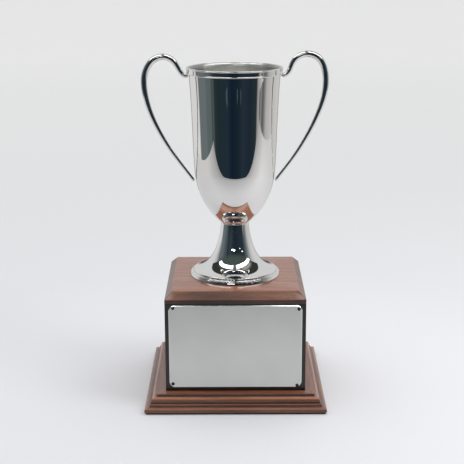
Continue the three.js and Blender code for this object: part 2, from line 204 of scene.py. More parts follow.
class Nodes:
    """A short way to write a node tree."""

    def __init__(self, tree):
        self.tree = tree

    def new(self, kind, **settings):
        node = self.tree.nodes.new(kind)
        for key, value in settings.items():
            setattr(node, key, value)
        return node

    def put(self, socket, value):
        """Links a socket into another, or sets its number."""
        if isinstance(value, bpy.types.NodeSocket):
            self.tree.links.new(value, socket)
        elif isinstance(value, (tuple, list)) and socket.type == "RGBA" and len(value) == 3:
            socket.default_value = (*value, 1.0)
        else:
            socket.default_value = value

    def math(self, operation, *values):
        node = self.new("ShaderNodeMath", operation=operation)
        for socket, value in zip(node.inputs, values):
            self.put(socket, value)
        return node.outputs[0]

    def step(self, value, start, end):
        """0 below start, 1 above end and a smooth rise between."""
        node = self.new("ShaderNodeMapRange", interpolation_type="SMOOTHSTEP", clamp=True)
        for socket, number in zip(node.inputs, (value, start, end, 0.0, 1.0)):
            self.put(socket, number)
        return node.outputs[0]

    def mix(self, share, first, second):
        node = self.new("ShaderNodeMix", data_type="RGBA")
        self.put(node.inputs[0], share)
        self.put(node.inputs[6], first)
        self.put(node.inputs[7], second)
        return node.outputs[2]

    def ramp(self, value, stops):
        """A colour for each place along the way from 0 to 1."""
        node = self.new("ShaderNodeValToRGB")
        points = node.color_ramp.elements
        for point, (place, colour) in zip((points[0], points[1]), (stops[0], stops[-1])):
            point.position = place
            point.color = (*colour, 1.0)
        for place, colour in stops[1:-1]:
            points.new(place).color = (*colour, 1.0)
        self.put(node.inputs[0], value)
        return node.outputs[0]

    def noise(self, coordinates, scale, detail=3.0, roughness=0.55, distortion=0.0):
        node = self.new("ShaderNodeTexNoise")
        self.put(node.inputs["Vector"], coordinates)
        self.put(node.inputs["Scale"], scale)
        self.put(node.inputs["Detail"], detail)
        self.put(node.inputs["Roughness"], roughness)
        self.put(node.inputs["Distortion"], distortion)
        return node.outputs[0]

    def place(self, scale=(1, 1, 1), rotation=(0, 0, 0), location=(0, 0, 0)):
        """The object's own coordinates, moved, turned and scaled."""
        source = self.new("ShaderNodeTexCoord").outputs["Object"]
        node = self.new("ShaderNodeMapping")
        self.put(node.inputs["Vector"], source)
        node.inputs["Location"].default_value = location
        node.inputs["Rotation"].default_value = rotation
        node.inputs["Scale"].default_value = scale
        return node.outputs[0]

    def bump(self, height, strength, distance, under=None):
        node = self.new("ShaderNodeBump")
        self.put(node.inputs["Strength"], strength)
        self.put(node.inputs["Distance"], distance)
        self.put(node.inputs["Height"], height)
        if under is not None:
            self.put(node.inputs["Normal"], under)
        return node.outputs[0]


def surface(name, **constants):
    """A material with a Principled shader whose plain numbers are set on its own sockets."""
    material = bpy.data.materials.new(name)
    material.use_nodes = True
    shader = material.node_tree.nodes["Principled BSDF"]
    for socket, value in constants.items():
        shader.inputs[socket.replace("_", " ")].default_value = value
    return material, Nodes(material.node_tree), shader


def scaled(colour, factor):
    return tuple(c * factor for c in colour)


def metal(name, tint, shade, rough, fine, stretch, grain_depth, painted_reflection=None, metallic=1.0):
    """A metal: smudged, faintly mottled, with fine lines along one direction.

    The tint is darkened by the shade in patches, and rough is the (least, most) roughness. The painted
    reflection is (x in mm, factor): how the inside of the cup changes in brightness from left to right.
    """
    material, n, shader = surface(name, Metallic=metallic)
    mottle = n.noise(n.place(), 28.0, 4.0)
    smudge = n.noise(n.place(location=(3.1, 1.7, 0.4)), 11.0, 5.0, 0.6, 0.6)
    lines = n.noise(n.place(scale=stretch), fine, 2.0)
    colour = n.ramp(n.step(mottle, 0.3, 0.7), [(0.0, scaled(tint, shade)), (1.0, tint)])
    # the painted reflection: the colour made brighter or darker across the cup, by x
    if painted_reflection:
        split = n.new("ShaderNodeSeparateXYZ")
        n.put(split.inputs[0], n.place())
        place = n.math("MULTIPLY_ADD", split.outputs[0], 0.5 / (MOUTH_RADIUS * MM), 0.5)
        bands = n.ramp(place, [((x / MOUTH_RADIUS + 1) / 2, (factor,) * 3) for x, factor in painted_reflection])
        banded = n.new("ShaderNodeVectorMath", operation="MULTIPLY")
        n.put(banded.inputs[0], colour)
        n.put(banded.inputs[1], bands)
        colour = banded.outputs[0]
    n.put(shader.inputs["Base Color"], colour)
    spread = n.math("MULTIPLY_ADD", n.step(smudge, 0.35, 0.75), rough[1] - rough[0], rough[0])
    n.put(shader.inputs["Roughness"], n.math("MULTIPLY_ADD", lines, rough[1] * 0.2, spread))
    n.put(shader.inputs["Normal"], n.bump(lines, 0.35, grain_depth))
    return material


def walnut(name, grain, seed, depth=1.0, painted_light_by_height=None, painted_lamp_reflection=None):
    """Lacquered red walnut, its grain along X or Y. Depth scales its tone.

    The height tones (height in mm, factor) are painted shade in the grooves and painted highlights on the
    edges.
    The edge tones (x in mm, factor) on its sloping edge are a painted lamp reflection, lighter in some
    places along it than in others.
    """
    material, n, shader = surface(name)
    shader.inputs["IOR"].default_value = 1.45
    shader.inputs["Coat Weight"].default_value = 0.65
    shader.inputs["Coat Roughness"].default_value = 0.12
    shift = (seed * 0.37, seed * 0.21, seed * 0.53)

    def stretched(along, across):
        scale = (along, across, across) if grain == "X" else (across, along, across)
        return n.place(scale, location=shift)

    figure = n.new("ShaderNodeTexWave", wave_type="BANDS", wave_profile="SIN")
    figure.bands_direction = "DIAGONAL"
    n.put(figure.inputs["Vector"], stretched(0.7, 9.0))
    n.put(figure.inputs["Scale"], 5.5)
    n.put(figure.inputs["Distortion"], 5.5)
    n.put(figure.inputs["Detail"], 3.0)
    n.put(figure.inputs["Detail Scale"], 1.3)
    patches = n.noise(stretched(4.0, 12.0), 2.4, 3.0)
    fibres = n.noise(stretched(14.0, 420.0), 2.0, 4.0, 0.7)
    streaks = n.noise(stretched(3.0, 90.0), 2.0, 3.0, 0.6)
    pores = n.noise(stretched(60.0, 1100.0), 1.6, 1.0)
    tone = n.math("MULTIPLY_ADD", figure.outputs["Fac"], 0.14, n.math("MULTIPLY", patches, 0.50))
    tone = n.math("MULTIPLY_ADD", streaks, 0.22, tone)
    tone = n.math("MULTIPLY_ADD", fibres, 0.30, tone)
    wood = n.ramp(
        n.math("MULTIPLY_ADD", tone, 0.72, 0.07),
        [
            (0.20, scaled((0.096, 0.034, 0.017), depth)),
            (0.42, scaled((0.170, 0.064, 0.034), depth)),
            (0.62, scaled((0.250, 0.102, 0.056), depth)),
            (0.85, scaled((0.355, 0.162, 0.094), depth)),
        ],
    )
    open_pores = n.step(pores, 0.60, 0.70)
    wood = n.mix(n.math("MULTIPLY", open_pores, 0.45), wood, scaled((0.060, 0.024, 0.018), depth))
    # painted shade and painted highlights, by height
    if painted_light_by_height:
        split = n.new("ShaderNodeSeparateXYZ")
        n.put(split.inputs[0], n.place())
        start, end = painted_light_by_height[0][0], painted_light_by_height[-1][0]
        rise = n.math("DIVIDE", n.math("SUBTRACT", split.outputs[2], start * MM), (end - start) * MM)
        stops = [((height - start) / (end - start), (factor / 2,) * 3) for height, factor in painted_light_by_height]
        shaded_by_height = n.new("ShaderNodeVectorMath", operation="SCALE")
        n.put(shaded_by_height.inputs[0], wood)
        n.put(shaded_by_height.inputs["Scale"], n.math("MULTIPLY", n.ramp(rise, stops), 2.0))
        wood = shaded_by_height.outputs[0]
    # a painted lamp reflection along the sloping edge, by x
    if painted_lamp_reflection:
        stops = [((x / PLINTH_HALF + 1) / 2, (factor / 2,) * 3) for x, factor in painted_lamp_reflection]
        place = n.math("MULTIPLY_ADD", split.outputs[0], 0.5 / (PLINTH_HALF * MM), 0.5)
        lamp_reflection = n.math("MULTIPLY", n.ramp(place, stops), 2.0)
        below = n.step(split.outputs[2], CHAMFER_TOP * MM, (CHAMFER_TOP - 0.8) * MM)
        factor = n.math("ADD", 1.0, n.math("MULTIPLY", below, n.math("SUBTRACT", lamp_reflection, 1.0)))
        reflected_wood = n.new("ShaderNodeVectorMath", operation="SCALE")
        n.put(reflected_wood.inputs[0], wood)
        n.put(reflected_wood.inputs["Scale"], factor)
        wood = reflected_wood.outputs[0]
    n.put(shader.inputs["Base Color"], wood)
    rough = n.math("MULTIPLY_ADD", fibres, 0.14, 0.33)
    n.put(shader.inputs["Roughness"], n.math("MULTIPLY_ADD", open_pores, 0.2, rough))
    sunk = n.math("SUBTRACT", n.math("MULTIPLY", fibres, 0.25), open_pores)
    n.put(shader.inputs["Normal"], n.bump(sunk, 0.25, 0.00008))
    return material


def plain_wood(name):
    """Pale softwood with soft rings."""
    material, n, shader = surface(name)
    rings = n.noise(n.place((120.0, 120.0, 3.0)), 1.6, 2.0)
    fibres = n.noise(n.place((900.0, 900.0, 20.0)), 1.2, 2.0)
    tone = n.math("MULTIPLY_ADD", fibres, 0.3, n.math("MULTIPLY", rings, 0.7))
    colour = n.ramp(tone, [(0.3, (0.36, 0.20, 0.09)), (0.7, (0.62, 0.42, 0.22))])
    n.put(shader.inputs["Base Color"], colour)
    n.put(shader.inputs["Roughness"], n.math("MULTIPLY_ADD", fibres, 0.2, 0.5))
    n.put(shader.inputs["Normal"], n.bump(fibres, 0.4, 0.0001))
    return material


def felted(name):
    """Dark green felt: matted fibres with a short fuzz."""
    material, n, shader = surface(name)
    shader.inputs["Sheen Weight"].default_value = 0.4
    shader.inputs["Sheen Roughness"].default_value = 0.6
    shader.inputs["Specular IOR Level"].default_value = 0.1
    fuzz = n.noise(n.place(), 900.0, 4.0, 0.7)
    patches = n.noise(n.place(), 60.0, 3.0)
    tone = n.math("MULTIPLY_ADD", patches, 0.5, n.math("MULTIPLY", fuzz, 0.5))
    colour = n.ramp(tone, [(0.3, (0.006, 0.011, 0.008)), (0.7, (0.022, 0.036, 0.027))])
    n.put(shader.inputs["Base Color"], colour)
    n.put(shader.inputs["Roughness"], n.math("MULTIPLY_ADD", fuzz, 0.1, 0.88))
    n.put(shader.inputs["Normal"], n.bump(fuzz, 0.9, 0.0004))
    return material


# A painted reflection: how bright the inside of the cup is, from left to right, dark at both sides.
INSIDE_PAINTED_REFLECTION = [
    (-52, 0.42), (-42, 0.42), (-36, 0.52), (-32, 1.0), (-20, 1.0), (-6, 0.97), (2, 0.93), (10, 0.99),
    (16, 0.90), (20, 0.98), (30, 0.97), (36, 0.52), (42, 0.46), (52, 0.62),
]
BRIGHT = metal(
    "bright_metal", (0.94, 0.915, 0.89), 0.975,
    rough=(0.010, 0.035), fine=900.0, stretch=(0.15, 0.15, 3.0), grain_depth=0.000001,
)
HANDLE_METAL = metal(
    "handle_metal", (0.93, 0.91, 0.88), 0.97,
    rough=(0.09, 0.13), fine=900.0, stretch=(0.3, 0.3, 0.3), grain_depth=0.00001,
)
INSIDE = metal(
    "inner_metal", (0.99, 0.985, 0.93), 0.94,
    rough=(0.26, 0.36), fine=700.0, stretch=(0.2, 0.2, 3.0), grain_depth=0.00001,
    painted_reflection=INSIDE_PAINTED_REFLECTION, metallic=0.72,
)
PLATE = metal(
    "plate_metal", (0.73, 0.735, 0.71), 0.955,
    rough=(0.10, 0.14), fine=260.0, stretch=(0.02, 1.0, 6.0), grain_depth=0.0000005,
)
PLATE_EDGE = metal(
    "plate_edge_metal", (0.95, 0.96, 0.95), 0.97,
    rough=(0.10, 0.16), fine=400.0, stretch=(1.0, 1.0, 1.0), grain_depth=0.00001,
)
PIN = metal(
    "pin_metal", (0.045, 0.04, 0.037), 0.75,
    rough=(0.30, 0.42), fine=500.0, stretch=(1.0, 1.0, 1.0), grain_depth=0.00002,
)
STEEL = metal(
    "steel", (0.56, 0.57, 0.58), 0.85,
    rough=(0.28, 0.42), fine=500.0, stretch=(1.0, 1.0, 2.0), grain_depth=0.00003,
)
BRASS = metal(
    "bush_brass", (0.66, 0.50, 0.24), 0.85,
    rough=(0.25, 0.40), fine=500.0, stretch=(1.0, 1.0, 2.0), grain_depth=0.00003,
)

# Painted shade and painted highlights by height on the base board, and on the top board with a painted lamp
# reflection along its sloping edge.
MOULDING_PAINTED_LIGHT = [
    (1.8, 1.00), (3.2, 0.75), (4.6, 0.65), (5.2, 0.90), (5.9, 1.70), (6.4, 1.60), (6.8, 0.26),
    (7.9, 0.24), (8.6, 0.75), (9.2, 1.50), (9.6, 1.90), (9.9, 0.75), (10.1, 0.10), (11.0, 0.10),
    (11.5, 0.70), (12.5, 0.80), (13.8, 0.90), (14.6, 1.55), (15.5, 1.98), (16.05, 2.00), (16.15, 0.16),
    (17.4, 0.20), (18.2, 0.50), (18.75, 1.12),
]
# On the top board: painted shade on its upright side, painted highlights on the edges of its slope and on
# its top.
TOP_PAINTED_LIGHT = [
    (117.9, 0.26), (121.8, 0.24), (122.4, 1.20), (123.2, 1.02), (129.4, 0.98), (130.2, 1.85),
    (130.6, 1.70),
]
# A painted lamp reflection along the top board's sloping edge, from left to right.
CHAMFER_PAINTED_REFLECTION = [
    (-76, 1.15), (-60, 0.95), (-46, 0.66), (-30, 0.55), (-14, 0.62), (2, 0.76), (16, 0.90),
    (34, 1.05), (60, 1.05), (76, 1.00),
]
WALNUT_X = walnut("walnut_along_x", "X", 1)
WALNUT_Y = walnut("walnut_along_y", "Y", 4)
WALNUT_BASE_X = walnut("walnut_base_along_x", "X", 1, 1.0, MOULDING_PAINTED_LIGHT)
WALNUT_BASE_Y = walnut("walnut_base_along_y", "Y", 4, 1.0, MOULDING_PAINTED_LIGHT)
WALNUT_TOP = walnut("walnut_top", "X", 7, 1.0, TOP_PAINTED_LIGHT, CHAMFER_PAINTED_REFLECTION)
# The front board is the same walnut as the others, darkened to a twentieth of its tone.
WALNUT_FRONT = walnut("walnut_front", "X", 11, 0.05)
PINE = plain_wood("pine")
FELT = felted("felt")

# ---------------------------------------------------------------- cup

SHEET = 1.1                          # wall of the spun metal
LIP_ROLL = 5.0                       # the inside turns outward over this height
STEM_RADIUS = 15.3                   # where the stem is soldered under the bowl
BAND_RADIUS = 52.2                   # outer face of the band round the mouth
BAND_INNER_RADIUS = 50.6
TURNED_SIDES = 192


def make_bowl():
    """The spun bowl: round bottom, slightly flared wall and a lip that rolls over."""
    foot = low("bowl").z
    rise = high("bowl").z - foot
    flat_end, wall_start, wall_end = (15.2, 0.0), (44.4, 57.7), (50.0, 165.7)
    wall = [(0.0, 0.0), (6.0, 0.0), (12.0, 0.0), flat_end]
    wall += bezier(flat_end, (29.7, 11.7), (41.6, 30.7), wall_start, 40)
    wall += bezier(wall_start, (46.4, 83.7), (46.9, 135.7), wall_end, 40)
    wall += [(50.45, rise - 1.0)]
    wall = [(r, foot + z) for r, z in wall]
    lip = arc((wall[-1][0] - 0.2, foot + rise - 0.9), 0.2, 0.9, 0, 90, 5)
    roll = arc((wall[-1][0] - 0.2, foot + rise - LIP_ROLL), 1.9, LIP_ROLL, 95, 172, 12)
    inner = roll + [(r, z) for r, z in offset(wall, SHEET)[::-1] if z < foot + rise - LIP_ROLL - 1]
    outline = wall + lip + inner
    tags = [0] * (len(wall) + len(lip) - 1) + [1] * (len(inner) + 1)
    vertices, faces, face_tags = turned(outline, TURNED_SIDES, tags)
    looks = [BRIGHT, INSIDE]
    return piece("spun_bowl", vertices, faces, "cup", ["bowl"], looks, face_tags)


def make_rim_band():
    """The band round the mouth, with a thin bead below and a thick one above."""
    bottom, top = low("rim_band").z, high("rim_band").z
    face = BAND_RADIUS
    outline = [(50.35, bottom)]
    outline += arc((face - 0.05, bottom + 0.7), 0.7, 0.7, -90, 90, 12)
    outline += [(face, bottom + 1.7), (face, top - 1.6)]
    outline += arc((face - 0.4, top - 0.9), 0.9, 0.9, -35, 90, 14)
    outline += arc((50.95, top - 0.35), 0.35, 0.35, 90, 180, 5)
    outline += [(BAND_INNER_RADIUS, bottom + 2.0)]
    vertices, faces, _ = turned(outline, TURNED_SIDES)
    return piece("rim_band_ring", vertices, faces, "cup", ["rim_band"], [BRIGHT])


def make_stem_foot():
    """The hollow stem and foot, with fine turned lines round the foot's edge."""
    base = low("stem_foot").z
    top = high("stem_foot").z
    slope = bezier((45.2, base + 6.3), (32, base + 10.6), (19.4, base + 20), (STEM_RADIUS, top), 72)
    inner = offset(slope, SHEET)[::-1]
    outline = [(45.5, base), (50.6, base)]
    outline += arc((42.88, base - 1.11), 8.0, 8.0, 9, 29, 7)

    # two small beads, each after a sharp step
    outline += [(49.55, base + 2.85), (49.40, base + 3.10)]
    outline += arc((48.65, base + 3.35), 0.75, 0.75, -10, 95, 8)
    outline += [(48.35, base + 3.90), (48.20, base + 4.00)]
    outline += arc((47.75, base + 4.15), 0.45, 0.45, 0, 110, 6)

    # a groove, then a taller bead where the slope begins
    outline += [(47.1, base + 3.4), (46.75, base + 3.4), (46.7, base + 5.4)]
    outline += arc((45.8, base + 5.4), 0.9, 0.9, 8, 75, 7)
    solder = arc((STEM_RADIUS + 0.1, top + 0.6), 0.8, 0.7, -50, 90, 10)
    outline += slope + solder + inner
    vertices, faces, _ = turned(outline, TURNED_SIDES)
    return piece("stem_and_foot", vertices, faces, "cup", ["stem_foot"], [BRIGHT])


# Places that each handle passes, in X and Z: the hook under the band, the crest, the outermost
# bend and the long taper. The two were bent by hand, so they aren't mirror images.
LEFT_HANDLE = [
    (-50.4, 353.4), (-55, 352.6), (-60.5, 360.6), (-66.2, 370.1), (-77.6, 374.9),
    (-89.9, 369.9), (-97.8, 356.5), (-98.6, 341), (-92.3, 314), (-75.2, 279.2), (-45, 237),
]
RIGHT_HANDLE = [
    (50.4, 353.7), (55.5, 353.6), (59.8, 358), (62.2, 367), (68.4, 374.2), (79.7, 377.5),
    (92.4, 371.9), (98.7, 356.5), (98.1, 334), (88.9, 306.5), (69.8, 271.3), (44.9, 237.4),
]
HANDLE_START_RADIUS = 2.3            # under the band
HANDLE_RADIUS = 3.7                  # at its thickest
HANDLE_END_RADIUS = 1.9
HANDLE_THICKEST = 0.26               # share of the way from the band to the lower end
HANDLE_END_ROUNDING = (0.25, 0.72, 0.9, 0.98)
HANDLE_STEPS = 220
HANDLE_SIDES = 32


def spline(places, steps):
    """A centripetal Catmull-Rom curve through the places."""
    p = [Vector(q) for q in places]
    p = [2 * p[0] - p[1]] + p + [2 * p[-1] - p[-2]]
    found = []
    for i in range(1, len(p) - 2):
        knots = [0.0]
        for a, b in zip(p[i - 1:i + 2], p[i:i + 3]):
            knots.append(knots[-1] + math.sqrt((b - a).length))
        t0, t1, t2, t3 = knots
        for k in range(steps):
            t = t1 + (t2 - t1) * k / steps
            a1 = (t1 - t) / (t1 - t0) * p[i - 1] + (t - t0) / (t1 - t0) * p[i]
            a2 = (t2 - t) / (t2 - t1) * p[i] + (t - t1) / (t2 - t1) * p[i + 1]
            a3 = (t3 - t) / (t3 - t2) * p[i + 1] + (t - t2) / (t3 - t2) * p[i + 2]
            b1 = (t2 - t) / (t2 - t0) * a1 + (t - t0) / (t2 - t0) * a2
            b2 = (t3 - t) / (t3 - t1) * a2 + (t - t1) / (t3 - t1) * a3
            found.append((t2 - t) / (t2 - t1) * b1 + (t - t1) / (t2 - t1) * b2)
    return found + [p[-2]]


def evenly(line, count):
    """The same line as points at even distances along it."""
    along = [0.0]
    for a, b in zip(line, line[1:]):
        along.append(along[-1] + (b - a).length)
    found, at = [], 0
    for i in range(count + 1):
        wanted = along[-1] * i / count
        while at < len(line) - 2 and along[at + 1] < wanted:
            at += 1
        share = (wanted - along[at]) / max(along[at + 1] - along[at], 1e-9)
        found.append(line[at].lerp(line[at + 1], min(share, 1.0)))
    return found


def relaxed(line, rounds):
    """The line with the small jumps in its bend smoothed out; its ends stay."""
    for _ in range(rounds):
        middle = [(a + 2 * b + c) / 4 for a, b, c in zip(line, line[1:], line[2:])]
        line = [line[0]] + middle + [line[-1]]
    return line


def handle_radius(t):
    """A handle's radius along it: it swells quickly to its thickest, then tapers slowly."""
    if t < HANDLE_THICKEST:
        rise = math.sin(t / HANDLE_THICKEST * math.pi / 2)
        return HANDLE_START_RADIUS + (HANDLE_RADIUS - HANDLE_START_RADIUS) * rise
    rise = math.sin((1 - t) / (1 - HANDLE_THICKEST) * math.pi / 2) ** 2.5
    return HANDLE_END_RADIUS + (HANDLE_RADIUS - HANDLE_END_RADIUS) * rise


def make_handle(name, node, places):
    """A round bar along the places, with rounded ends that run into solder at the bowl."""
    line = relaxed(evenly(spline(places, 30), HANDLE_STEPS), 40)
    vertices, rings = [], []
    for i, centre in enumerate(line):
        t = i / HANDLE_STEPS
        ahead = line[min(i + 1, HANDLE_STEPS)] - line[max(i - 1, 0)]
        outwards = Vector((ahead.y, -ahead.x)).normalized()
        radius = handle_radius(t)
        tip = min(i, HANDLE_STEPS - i)
        if tip < len(HANDLE_END_ROUNDING):
            radius *= HANDLE_END_ROUNDING[tip]
        rings.append(list(range(len(vertices), len(vertices) + HANDLE_SIDES)))
        for j in range(HANDLE_SIDES):
            angle = 2 * math.pi * j / HANDLE_SIDES
            side = outwards * radius * math.cos(angle)
            vertices.append((centre.x + side.x, radius * math.sin(angle), centre.y + side.y))
    faces, _ = joined_rings(rings, closed=False)
    faces += [rings[0], rings[-1]]
    return piece(name, vertices, faces, "cup", [node], [HANDLE_METAL])


make_bowl()
make_rim_band()
make_stem_foot()
make_handle("left_handle_bar", "left_handle", LEFT_HANDLE)
make_handle("right_handle_bar", "right_handle", RIGHT_HANDLE)

# ---------------------------------------------------------------- plinth

ARRIS = 0.5                          # how far the sharp wooden edges are eased
CHAMFER = 7.94                       # the sloping edge's width and height
BOARD_THICKNESS = 12.7               # of a side board
MITRE_GAP = 0.15
PLATE_CORNER = 6.0
PLATE_BEVEL = 0.55
PLATE_CORNER_STEPS = 12


def make_base_board():
    """The base board: ledge, quarter round, cove and plank edge, routed all round."""
    half = high("base_board").x
    bottom, top = low("base_board").z, high("base_board").z
    edge = arc((half - 0.5, bottom + 0.5), 0.5, 0.5, -90, 0, 4)
    edge += arc((half - 3.9, 4.4), 3.9, 2.2, 0, 90, 14)

    # the cove and the small step over it
    edge += arc((half - 3.9, 9.0), 1.6, 2.4, -90, -180, 12)
    edge += [(half - 5.6, 9.9), (half - 6.4, 10.0), (half - 6.75, 10.4), (half - 6.9, 11.1)]

    # the quarter round, the narrow groove behind it and the ledge that carries the side boards
    edge += arc((half - 10.7, 11.4), 3.7, 4.7, 0, 90, 16)
    edge += [(half - 12.3, 16.1)]
    edge += arc((half - 12.3, 16.5), 0.4, 0.4, -90, -180, 4)
    edge += [(half - 12.7, top - 0.6)]
    edge += arc((half - 13.2, top - 0.5), 0.5, 0.5, 0, 90, 4)
    vertices, faces = square_turned(edge, 0.25, 32, ACCESS_RADIUS)
    tags = []
    for face in faces:
        middle = sum((Vector(vertices[i]) for i in face), Vector()) / len(face)
        tags.append(0 if abs(middle.y) > abs(middle.x) else 1)
    looks = [WALNUT_BASE_X, WALNUT_BASE_Y]
    return piece("base_moulding", vertices, faces, "base", ["base_board"], looks, tags)


def make_top_board():
    """The top board, chamfered all round, with a hole for the rod."""
    half = high("top_board").x
    bottom, top = low("top_board").z, high("top_board").z
    edge = arc((half - 0.4, bottom + 0.4), 0.4, 0.4, -90, 0, 3)
    edge += arc((half - 0.7, top - CHAMFER - 0.35), 0.7, 0.7, 0, 45, 4)
    edge += arc((half - CHAMFER - 0.35, top - 0.8), 0.8, 0.8, 45, 90, 4)
    vertices, faces = square_turned(edge, ARRIS, 16, ROD_HOLE_RADIUS)
    return piece("top_board_chamfered", vertices, faces, "base", ["top_board"], [WALNUT_TOP])


def make_side_board(name, node, quarter_turns, material):
    """A side board, mitred at both ends, with eased outer corners."""
    outer = high("top_board").x
    inner = outer - BOARD_THICKNESS
    corner = arc((outer - ARRIS, -outer + ARRIS), ARRIS, ARRIS, -90, -45, 4)
    right = [(x - MITRE_GAP, y) for x, y in corner] + [(inner - MITRE_GAP, -inner)]
    outline = right + [(-x, y) for x, y in right[::-1]]
    turn = Matrix.Rotation(quarter_turns * math.pi / 2, 2)
    outline = [tuple(turn @ Vector(p)) for p in outline]
    vertices, faces = prism(outline, low(node).z, high(node).z)
    return piece(name, vertices, faces, "base", [node], [material])


def make_name_plate():
    """A thin metal sheet with round corners and a bevelled front edge."""
    (x0, y0, z0), (x1, y1, z1) = low("name_plate"), high("name_plate")
    corners = ((x1, z1, 0), (x0, z1, 90), (x0, z0, 180), (x1, z0, 270))

    def ring(inset, y):
        """The plate's outline, smaller all round by the inset."""
        reach = PLATE_CORNER - inset
        found = []
        for x, z, start in corners:
            centre = (
                x - math.copysign(PLATE_CORNER, x),
                z + (PLATE_CORNER if z == z0 else -PLATE_CORNER),
            )
            round_corner = arc(centre, reach, reach, start, start + 90, PLATE_CORNER_STEPS)
            found += [(a, y, b) for a, b in round_corner]
        return found

    vertices, rings = [], []
    for inset, y in ((0.0, y1), (0.0, y0 + PLATE_BEVEL), (PLATE_BEVEL, y0)):
        points = ring(inset, y)
        rings.append(list(range(len(vertices), len(vertices) + len(points))))
        vertices += points
    faces, _ = joined_rings(rings, closed=False)
    tags = [1] * len(faces) + [0, 0]
    faces += [rings[0], rings[-1]]
    looks = [PLATE, PLATE_EDGE]
    return piece("engraving_plate", vertices, faces, "base", ["name_plate"], looks, tags)


def make_pin(name, node):
    """A round-head pin: domed head, thin neck, pointed end."""
    (x0, y0, z0), (x1, y1, z1) = low(node), high(node)
    head, rise, neck = (x1 - x0) / 2, 1.1, 0.65
    outline = [(0.0, y0 - y1), (neck, y0 - y1 + 1.0), (neck, -rise), (head - 0.1, -rise)]
    outline += arc((0.0, -rise + 0.15), head, rise - 0.15, 0, 90, 8)
    vertices, faces, _ = turned(outline, 32)
    middle = ((x0 + x1) / 2, (z0 + z1) / 2)
    vertices = [(middle[0] + x, y0 - z, middle[1] + y) for x, y, z in vertices]
    return piece(name, vertices, faces, "base", [node], [PIN])


def make_felt():
    """Felt cut a little by hand: its edge wanders and its thickness varies."""
    half = high("felt_sheet").x
    thick = high("felt_sheet").z
    edge = [(half - 0.3, 0.0), (half, 0.35), (half, thick - 0.3), (half - 0.3, thick)]
    vertices, faces = square_turned(edge, 0.6, 64, ACCESS_RADIUS)
    roughened = []
    for x, y, z in vertices:
        wander = noise.noise(Vector((x, y, 3.0)) * 0.09) * 0.25 - 0.2
        shrink = 1 + wander / half
        lift = 0.0
        if z == 0.0 and abs(x) + abs(y) > half:
            lift = 0.08 * (1 + noise.noise(Vector((x, y, z)) * 0.3))
        roughened.append((x * shrink, y * shrink, z + lift))
    made = piece("base_felt", roughened, faces, "base", ["felt_sheet"], [FELT])
    return made


make_base_board()
make_top_board()
make_side_board("front_side_board", "front_board", 0, WALNUT_FRONT)
make_side_board("right_side_board", "right_board", 1, WALNUT_Y)
make_side_board("back_side_board", "back_board", 2, WALNUT_X)
make_side_board("left_side_board", "left_board", 3, WALNUT_Y)
make_name_plate()
for corner_name in ("upper_left", "upper_right", "lower_left", "lower_right"):
    make_pin("pin_" + corner_name, "plate_pin_" + corner_name)
make_felt()

# ---------------------------------------------------------------- hardware under the plinth

PITCH = 1.27                         # twenty threads to the inch
THREAD_DEPTH = 0.5
THREAD_LENGTH = 34.0


def make_draw_rod():
    """The rod that holds the cup down, with a real thread on its lower half."""
    bottom, top = low("draw_rod").z, high("draw_rod").z
    threaded = bottom + THREAD_LENGTH
    radius = high("draw_rod").x
    sides, per_turn = 24, 8
    vertices, rings = [], []
    count = int((threaded - bottom) / PITCH * per_turn) + 1
    heights = [bottom + PITCH * i / per_turn for i in range(count)]
    for z in heights + [threaded + 0.6, top]:
        rings.append(list(range(len(vertices), len(vertices) + sides)))
        for j in range(sides):
            turn = j / sides
            ridge = abs(((z - bottom) / PITCH - turn) % 1.0 * 2 - 1) if z <= threaded else 1.0
            r = radius - THREAD_DEPTH * (1 - ridge)
            vertices.append((r * math.cos(2 * math.pi * turn), r * math.sin(2 * math.pi * turn), z))
    faces, _ = joined_rings(rings, closed=False)
    faces += [rings[0], rings[-1]]
    return piece("threaded_draw_rod", vertices, faces, "cup", ["draw_rod"], [STEEL])


def make_nut():
    """A hexagon nut with its corners turned off at both faces."""
    (x0, y0, bottom), (x1, y1, top) = low("nut"), high("nut")
    flats = min(x1 - x0, y1 - y0) / 2
    corner_first = (x1 - x0) > (y1 - y0)
    slope = math.tan(math.radians(30))
    bore, sides = 3.4, 72
    below = [(None, bottom + depth, depth) for depth in (0.0, 0.35, 0.9)]
    above = [(None, top - depth, depth) for depth in (0.9, 0.35, 0.0)]
    rows = [(bore, bottom + 0.5, 0.0), (bore + 0.5, bottom, 0.0)] + below
    rows += above + [(bore + 0.5, top, 0.0), (bore, top - 0.5, 0.0)]
    vertices, rings = [], []
    for round_radius, height, depth in rows:
        rings.append(list(range(len(vertices), len(vertices) + sides)))
        for j in range(sides):
            angle = 2 * math.pi * j / sides
            from_flat = (angle + (math.pi / 6 if corner_first else 0)) % (math.pi / 3)
            if from_flat > math.pi / 6:
                from_flat -= math.pi / 3
            reach = round_radius or min(flats / math.cos(from_flat), flats * 0.97 + depth / slope)
            vertices.append((reach * math.cos(angle), reach * math.sin(angle), height))
    faces, _ = joined_rings(rings)
    return piece("hexagon_nut", vertices, faces, "nut", ["nut"], [STEEL])


def make_washer():
    """A flat washer with eased edges."""
    bottom, top = low("washer").z, high("washer").z
    radius, bore, ease = high("washer").x, ROD_HOLE_RADIUS, 0.3
    outline = [(bore, bottom + ease), (bore + ease, bottom)]
    outline += arc((radius - ease, bottom + ease), ease, ease, -90, 0, 3)
    outline += arc((radius - ease, top - ease), ease, ease, 0, 90, 3)
    outline += [(bore + ease, top), (bore, top - ease)]
    vertices, faces, _ = turned(outline, 64)
    return piece("flat_washer", vertices, faces, "washer", ["washer"], [STEEL])


make_draw_rod()
make_nut()
make_washer()

